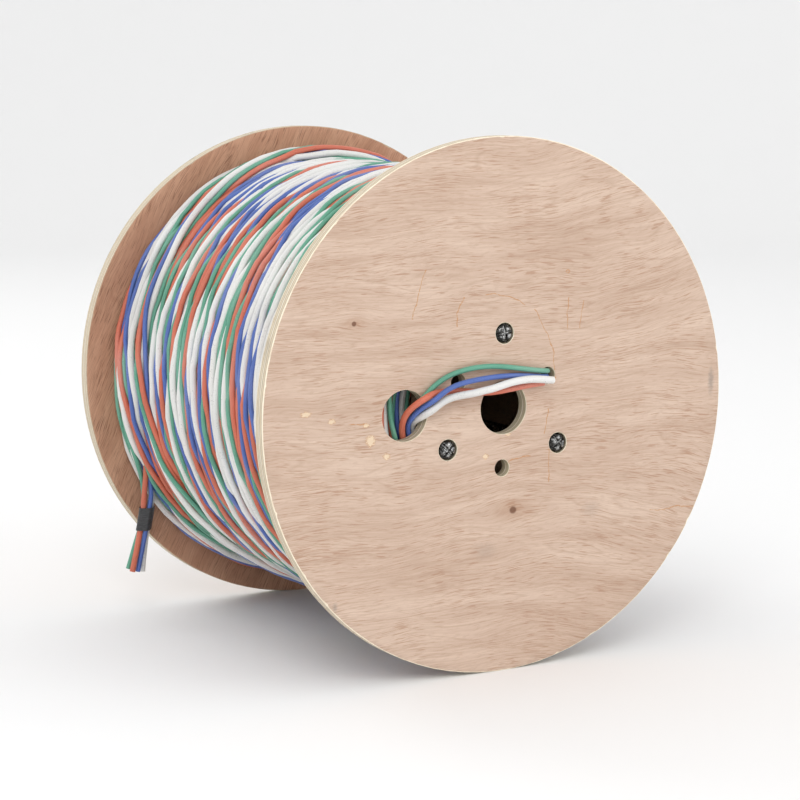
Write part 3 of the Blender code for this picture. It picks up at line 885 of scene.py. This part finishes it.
# Start leads: x, distance out of the front face, z
START_ROUTES = {
    "green": (
        (-76.6, -19.2, -23), (-77, -18.3, -14), (-76.9, -15.8, -5), (-76.6, -12.2, 1),
        (-76.2, -7.6, 4.6), (-75.6, -3, 7.2), (-74.2, 0.8, 9.6), (-71.6, 2.8, 12.7),
        (-67, 3, 17.4), (-61, 2.8, 22.2), (-52, 2.4, 26.9), (-42, 2.5, 30),
        (-32, 2.6, 31.8), (-21.5, 2.8, 32.6), (-10, 3, 32.4), (3, 3.2, 30.8),
        (16, 3.4, 28.5), (26.5, 3.4, 26.9), (33.4, 3.5, 26), (37.8, 1.3, 25.4),
        (40.4, -1.8, 25),
    ),
    "blue": (
        (-73, -14.2, -22), (-74.6, -13.9, -16.5), (-76.3, -12.6, -11.5), (-77.2, -9.7, -7),
        (-76.8, -6, -3), (-76, -2.2, 0.6), (-74.2, 1.8, 4), (-71.8, 5.6, 7.2),
        (-69, 9.3, 9.9), (-65.4, 11.7, 13), (-60.8, 11.7, 16.4), (-53.5, 10.6, 19.8),
        (-43, 8.8, 22.2), (-32, 7.3, 23.4), (-21, 6.1, 24.1), (-11, 5, 24.5),
        (0, 4, 24.4), (10, 3.1, 23.9), (20.4, 2.6, 22.9), (28, 2.5, 21.9),
        (32.8, 3, 21.5), (36.5, 1.2, 21.1), (39.4, -1.4, 20.7),
    ),
    "orange": (
        (-78.5, -14.6, -22), (-80, -14, -17), (-81.7, -12.1, -11.6), (-82.9, -8.8, -6.2),
        (-83.2, -5.2, -1.6), (-82.6, -1.4, 2.6), (-81.2, 2.4, 6.2), (-79.2, 5.8, 9.2),
        (-76.4, 8.2, 11.8), (-72.8, 8.8, 13.8), (-68.6, 7.8, 15.3), (-64.5, 6.7, 15.9),
        (-60, 5.2, 16.3), (-52, 3.5, 16.4), (-42, 2.8, 15.8), (-30, 2.8, 14.4),
        (-20, 2.8, 13), (-10, 2.8, 12.8), (0.5, 2.8, 13.8), (11, 2.8, 14.9),
        (21, 2.8, 16.1), (28, 2.8, 16.6), (33.6, 2.8, 16.9),
    ),
    "white": (
        (-68, -17.5, -22), (-69.4, -17, -15.5), (-71.1, -15.9, -10.2), (-71.7, -12, -6.8),
        (-71.7, -7.2, -4.2), (-71, -1.8, -2), (-69.6, 3.3, 0.8), (-66.4, 7, 3.9),
        (-61.8, 8, 7.6), (-56, 7.6, 10.7), (-47.4, 8.4, 12.9), (-38, 8.9, 13.6),
        (-29, 8.9, 14.4), (-22.5, 8.8, 15.5), (-16, 8.8, 16.2), (-8, 8.6, 18),
        (1, 8.4, 20), (11, 8.3, 21.1), (20.5, 8.1, 21.1), (29, 8.1, 20.3),
        (35, 7.8, 19.5), (39.4, 6.8, 18.9),
    ),
}

# Tails: x, y, z
TAIL_ROUTES = {
    "orange": (
        (-162.4, 134.6, -104), (-162.5, 134.9, -108), (-162.8, 135.0, -112),
        (-164.4, 135.0, -120.5), (-166.1, 135.0, -129.6), (-168, 134.5, -138),
        (-170, 133.9, -146.2), (-172.3, 133.6, -155), (-174.5, 133.4, -164),
    ),
    "blue": (
        (-157.4, 132.2, -104), (-158.0, 132.3, -108), (-158.7, 132.4, -112),
        (-160.3, 132.5, -120.5), (-162, 132.5, -129.6), (-163.7, 133.2, -138),
        (-165.2, 133.8, -146.6), (-167.1, 134.1, -155), (-169.2, 134.3, -164.6),
    ),
    "green": (
        (-160.6, 139.5, -104), (-160.7, 139.5, -108), (-160.9, 139.4, -112),
        (-162.5, 139.4, -120.5), (-164.3, 139.4, -129.6), (-167.6, 139.2, -138),
        (-170.8, 138.9, -147), (-173.5, 138.7, -155), (-176, 138.6, -162.4),
    ),
    "white": (
        (-154.2, 138.0, -104), (-155, 137.7, -108), (-155.9, 137.4, -112),
        (-157.7, 137.1, -120.5), (-159.4, 137.2, -129.6), (-160.6, 137.9, -138),
        (-161.6, 138.5, -147), (-162.7, 138.6, -156), (-163.7, 138.6, -165.6),
    ),
}
CORD_SIDES = 20


def route_length(points):
    """Length in metres of a line of points in mm."""
    return float(np.linalg.norm(np.diff(points, axis=0), axis=1).sum()) * MM


def start_route(colour):
    return [(x, -OUTER_FACE - out, z) for x, out, z in START_ROUTES[colour]]


def make_cord(name, colour, route):
    """One free strand along its route."""
    points = spline_curve(route, 10)
    radius = STRANDS[colour] / 2
    across = np.tile((0.31, 0.55, 0.77), (len(points), 1))
    mesh = ring_mesh(name, tube_rings(points, radius, CORD_SIDES, across), degrees=50)
    item = add_piece(name + "_strand", mesh, [JACKETS[colour]], name)


def make_cords():
    for colour in START_ROUTES:
        make_cord("start_lead_" + colour, colour, start_route(colour))
    for colour, route in TAIL_ROUTES.items():
        make_cord("tail_" + colour, colour, route)


# ---- the winding

STATIONS = 120                  # samples round each turn
LAYER_TURNS = 26                # turns in a full layer
LAST_TURNS = 5                  # turns lying on the outer layer, up to the tail
TAIL_ANGLE = 203.0              # where the last turn leaves the winding, from +X towards +Z
LOWER_LAYER_RADIUS = 162.5      # what the last but one layer lies on
LAYER_STEP = 8.6
BUNDLE_LIFT = 4.5               # from what a layer lies on to its bundle's centre
BUNDLE_RADIUS = 3.2             # how far a strand's centre lies from its bundle's
LAY_LENGTH = 250.0              # one twist of the bundle
WANDER = 1.3                    # how far a turn strays along the axle
WALL = INNER_FACE - 0.4
BUNDLE_REACH = WALL - BUNDLE_RADIUS - 2.6       # with room for a thick strand's radius
WINDING_SIDES = 8
RELAX_STEPS = 70
SINK, LAST_SINK = 0.22, 0.05    # how far each step pulls the strands inwards
PUSH_SHARE = 0.36               # of an overlap, for each strand in each step
EVENING = 0.30                  # how far each step evens a strand along its length

# The inner layers, drawn more coarsely because the outer ones hide them
CORE_LAYERS = 11
CORE_STATIONS = 30
CORE_SIDES = 6
CORE_ANGLE = 265.0              # where the first layer starts, past the start leads
POCKET_ROOM = 17.0              # how far the turns behind the start hole stay from the flange
POCKET_ANGLE = pi * 1.02
POCKET_SPREAD = 0.20
POCKET_REACH = 112.0
CLIMB_SHARE = 0.02              # of a layer, at its end, in which the bundle climbs to the next
SIDE_ARC_SPAN = 24.0            # half the angle of each stretch
SIDE_ARCS = (                   # colour, radius, change of radius, place along the axle
    ("orange", 98.4, 0.6, -152.6), ("white", 93.6, 0.8, -148.9), ("green", 90.6, -4.8, -153.0),
    ("orange", 88.4, -1.5, -147.4), ("white", 86.6, 0.0, -142.4), ("green", 84.4, 1.6, -145.0),
    ("blue", 80.8, -1.0, -145.0), ("white", 75.4, 1.2, -142.2), ("green", 70.8, 0.8, -142.0),
)

# The last turns, counted back from the tail: (turns, place along the axle, layers up)
LAST_ROUTE = (
    (0.0, 135.5, 2.2), (0.05, 134.5, 2.2), (0.18, 131, 2.3), (0.31, 125, 2.6), (0.42, 112, 2.5),
    (0.55, 78, 2.2), (0.68, 42, 2.1), (0.80, 24, 2.2), (0.87, 36, 2.2), (0.93, 60, 2.3),
    (1.0, 88, 2.4), (1.07, 102, 2.5), (1.18, 114, 2.6), (1.31, 128, 3.0), (1.5, 140, 3.1),
    (1.8, 147, 2.8), (2.1, 146, 2.5), (2.3, 141, 2.5), (2.5, 134, 2.5), (2.8, 127, 2.2),
    (3.1, 124, 2.0), (3.6, 130, 2.0), (4.2, 137, 2.0), (4.6, 145, 2.0), (4.8, 149, 1.8),
    (5.0, 150.5, 1.4),
)


def slow_noise(count, spacing, seed):
    """A smooth wander from -1 to 1 with a new value every spacing samples."""
    random = np.random.default_rng(seed)
    knots = random.uniform(-1, 1, count // spacing + 4)
    return spline_curve(knots[:, None], spacing)[:count, 0]


def bundle_path():
    """Where the bundle's centre runs: place along the axle and radius, for each sample."""
    layer = LAYER_TURNS * STATIONS
    across = np.linspace(-BUNDLE_REACH, BUNDLE_REACH, layer, endpoint=False)
    last = LAST_TURNS * STATIONS
    turns, places, ups = np.array(LAST_ROUTE).T
    back = np.arange(last, 0, -1) / STATIONS
    y = np.concatenate((-across, across, np.interp(back, turns, places)))
    up = np.concatenate((np.zeros(layer), np.ones(layer), np.interp(back, turns, ups)))
    y[:-last] += WANDER * slow_noise(2 * layer, 37, 3)
    soft = np.exp(-np.linspace(-2, 2, 25) ** 2)
    y = np.convolve(np.pad(y, 12, "edge"), soft / soft.sum(), "valid")
    return y, LOWER_LAYER_RADIUS + BUNDLE_LIFT + up * LAYER_STEP


def settle(y, r, radii):
    """Let the strands' sections push apart and sink in, at every station round the reel.

    y and r are (samples, 4). Samples of all turns at one station share a plane, so each
    iteration pushes overlapping circles apart there, pulls them inwards, and then evens each
    strand along its own length.
    """
    samples = len(y)
    turns = samples // STATIONS

    def by_station(field):
        planes = field.reshape(turns, STATIONS, 4).transpose(1, 0, 2)
        return planes.reshape(STATIONS, -1).astype(np.float32)

    def by_sample(field):
        return field.reshape(STATIONS, turns, 4).transpose(1, 0, 2).reshape(samples, 4)

    size = np.tile(radii, turns).astype(np.float32)
    touch = size[:, None] + size[None, :]
    lowest = LOWER_LAYER_RADIUS + radii
    for step in range(RELAX_STEPS):
        r -= SINK if step < RELAX_STEPS * 0.75 else LAST_SINK
        plane_y, plane_r = by_station(y), by_station(r)
        push_y, push_r = np.empty_like(plane_y), np.empty_like(plane_r)
        for k in range(STATIONS):
            dy = plane_y[k][:, None] - plane_y[k]
            dr = plane_r[k][:, None] - plane_r[k]
            gap = np.sqrt(dy * dy + dr * dr) + 1e-6
            share = np.maximum(touch - gap, 0) / gap * PUSH_SHARE
            np.fill_diagonal(share, 0)
            push_y[k] = (share * dy).sum(1)
            push_r[k] = (share * dr).sum(1)
        y += by_sample(push_y)
        r += by_sample(push_r)
        np.maximum(r, lowest, out=r)
        np.clip(y, -WALL + radii, WALL - radii, out=y)
        if step < RELAX_STEPS - 4:
            for field in (y, r):
                field[1:-1] += EVENING * ((field[:-2] + field[2:]) / 2 - field[1:-1])
    return y, r


def eased(value):
    """Smooth step from 0 to 1, flat at both ends."""
    value = np.clip(value, 0, 1)
    return value * value * (3 - 2 * value)


def bend_between(start, start_way, end, end_way, count):
    """Points of a smooth bend that leaves start and reaches end along the given ways."""
    reach = np.linalg.norm(end - start)
    t = np.linspace(0, 1, count)[1:-1, None]
    return (
        (2 * t ** 3 - 3 * t ** 2 + 1) * start + (t ** 3 - 2 * t ** 2 + t) * reach * start_way
        + (3 * t ** 2 - 2 * t ** 3) * end + (t ** 3 - t ** 2) * reach * end_way)


def unit(vector):
    return vector / np.linalg.norm(vector)


def join_tail(line, colour):
    """A strand's line carried on from its last turn to where its tail starts."""
    tail = spline_curve(TAIL_ROUTES[colour], 10)
    bend = bend_between(line[-1], unit(line[-1] - line[-3]), tail[0], unit(tail[1] - tail[0]), 14)
    return np.concatenate((line, bend, tail[:1]))


def core_line(i, colour, first):
    """A strand's line through the inner layers, from its start lead to the outer layers."""
    turns = CORE_LAYERS * LAYER_TURNS + ((TAIL_ANGLE - CORE_ANGLE) % 360) / 360
    count = int(turns * CORE_STATIONS) + 1
    t = np.linspace(0, 1, count)
    angle = radians(TAIL_ANGLE) + 2 * pi * turns * (t - 1)
    layer = t * CORE_LAYERS
    y = (np.abs((layer + 1) % 2 - 1) * 2 - 1) * BUNDLE_REACH
    step = (LOWER_LAYER_RADIUS - DRUM_RADIUS) / CORE_LAYERS
    climb = np.floor(layer) + eased((layer % 1 - (1 - CLIMB_SHARE)) / CLIMB_SHARE)
    radius = DRUM_RADIUS + step * (climb + 0.5)
    twist = angle * radius.mean() / LAY_LENGTH + i * pi / 2
    y = y + BUNDLE_RADIUS * np.cos(twist)
    radius = radius + BUNDLE_RADIUS * np.sin(twist)

    last = polar_place(first)
    fade = eased(1 - (1 - t) * turns / 0.5)
    y += fade * (last[1] - y[-1])
    radius += fade * (last[2] - radius[-1])
    near = np.exp(-((angle - POCKET_ANGLE + pi) % (2 * pi) - pi) ** 2 / POCKET_SPREAD)
    room = (-WALL + STRANDS[colour] / 2) + POCKET_ROOM * near * (radius < POCKET_REACH)
    y = np.maximum(y, room)

    start_angle, start_y, start_radius = polar_place(start_route(colour)[0])
    lead_in = np.linspace(0, 1, 12)[:-1]
    sweep = start_angle + lead_in * ((angle[0] - start_angle) % (2 * pi))
    ease = eased(lead_in)
    joined = polar_points(
        sweep, start_y + (y[0] - start_y) * ease, start_radius + (radius[0] - start_radius) * ease)
    return np.concatenate((joined, polar_points(angle, y, radius)))


def polar_place(point):
    return atan2(point[2], point[0]), point[1], hypot(point[0], point[2])


def side_arcs(colour):
    """Stretches of the innermost turns that show through the start hole."""
    arcs = []
    for own, radius, lean, y in SIDE_ARCS:
        if own != colour:
            continue
        off = np.linspace(-1, 1, 41)
        angle = pi + radians(SIDE_ARC_SPAN) * off
        dive = eased((np.abs(off) - 0.45) / 0.55) * 9
        arcs.append(polar_points(angle, y + dive, radius + lean * off))
    return arcs


def winding_strands():
    """The four strands' centre lines through the outer layers, by colour."""
    y, radius = bundle_path()
    samples = len(y)
    angle = radians(TAIL_ANGLE) - np.arange(samples, 0, -1) * 2 * pi / STATIONS
    step = 2 * pi * radius / STATIONS
    twist = np.cumsum(step / LAY_LENGTH * (1 + 0.35 * slow_noise(samples, 60, 11))) * 2 * pi
    radii = np.array([STRANDS[c] / 2 for c in COLOURS])
    phase = np.array([0.0, 0.5, 0.25, 0.75]) * 2 * pi
    wander = np.stack([slow_noise(samples, 45, 20 + i) for i in range(4)], 1)
    turned = twist[:, None] + phase + 0.5 * wander
    strand_y = y[:, None] + BUNDLE_RADIUS * np.cos(turned)
    strand_r = radius[:, None] + BUNDLE_RADIUS * np.sin(turned)
    strand_y, strand_r = settle(strand_y, strand_r, radii)
    return {
        colour: polar_points(angle, strand_y[:, i], strand_r[:, i])
        for i, colour in enumerate(COLOURS)}


def make_winding():
    """Every turn of the four strands, from their start leads to their tails."""
    lines = winding_strands()
    total = 0.0
    for i, (colour, points) in enumerate(lines.items()):
        for prefix, group, sides in (
                ("winding_", [join_tail(points, colour)], WINDING_SIDES),
                ("winding_core_", [core_line(i, colour, points[0])], CORE_SIDES),
                ("winding_side_", side_arcs(colour), WINDING_SIDES)):
            name = prefix + colour
            verts, faces = [], []
            for line in group:
                rings = tube_rings(line, STRANDS[colour] / 2, sides, line * (1, 0, 1))
                faces += tube_faces(len(line), sides, sum(len(v) for v in verts))
                verts.append(rings.reshape(-1, 3))
                total += route_length(line) / len(lines)
            mesh = new_mesh(name, np.concatenate(verts), faces, 50, recalculate=False)
            add_piece(name, mesh, [JACKETS[colour]], "cable_winding")
    print("wound length of the bundle, metres:", round(total, 1))


# ---- make everything

make_camera()
JACKETS = {colour: jacket_material(colour) for colour in COLOURS}
make_cords()
make_winding()

front_veneer = veneer_material(
    "veneer_front", (0.690, 0.535, 0.430), (0.590, 0.435, 0.340), (0.45, 0.305, 0.22),
    (0.40, 0.225, 0.14), spread=0.35, marked=True)
inside_veneer = veneer_material(
    "veneer_inside", (0.60, 0.355, 0.235), (0.50, 0.275, 0.175), (0.36, 0.18, 0.11),
    (0.17, 0.075, 0.042), lean=63.0, figure=0.25)
rear_veneer = veneer_material(
    "veneer_rear", (0.70, 0.52, 0.38), (0.60, 0.42, 0.30), (0.44, 0.28, 0.19),
    (0.30, 0.15, 0.08), lean=-20.0)
edges = ply_edge_material()
make_flange("front_flange", -1, CHIPS, [front_veneer, edges, inside_veneer])
make_flange("rear_flange", 1, (), [rear_veneer, edges, inside_veneer])

# Bolt heads: dark stains with bright plating between them as painted highlights, and painted shade
# round each head's rim
bolt_steel = steel_material(
    "bolt_steel", (0.40, 0.40, 0.395), 0.13, (0.035, 0.034, 0.032), painted_edge_shade=0.9)
zinc_steel = steel_material("zinc_steel", (0.62, 0.63, 0.64), 0.28, (0.42, 0.41, 0.37))
for number, (place, turn) in enumerate(zip(BOLT_PLACES, HEAD_TURNS), 1):
    make_tie_bolt(number, place, turn, bolt_steel)
    make_washer(number, place, zinc_steel)
    make_nut(number, place, 17 * number, zinc_steel)
give_finish("drum_tube", kraft_material())
give_finish("tail_tape", tape_material())

make_stage()

bpy.context.view_layer.update()
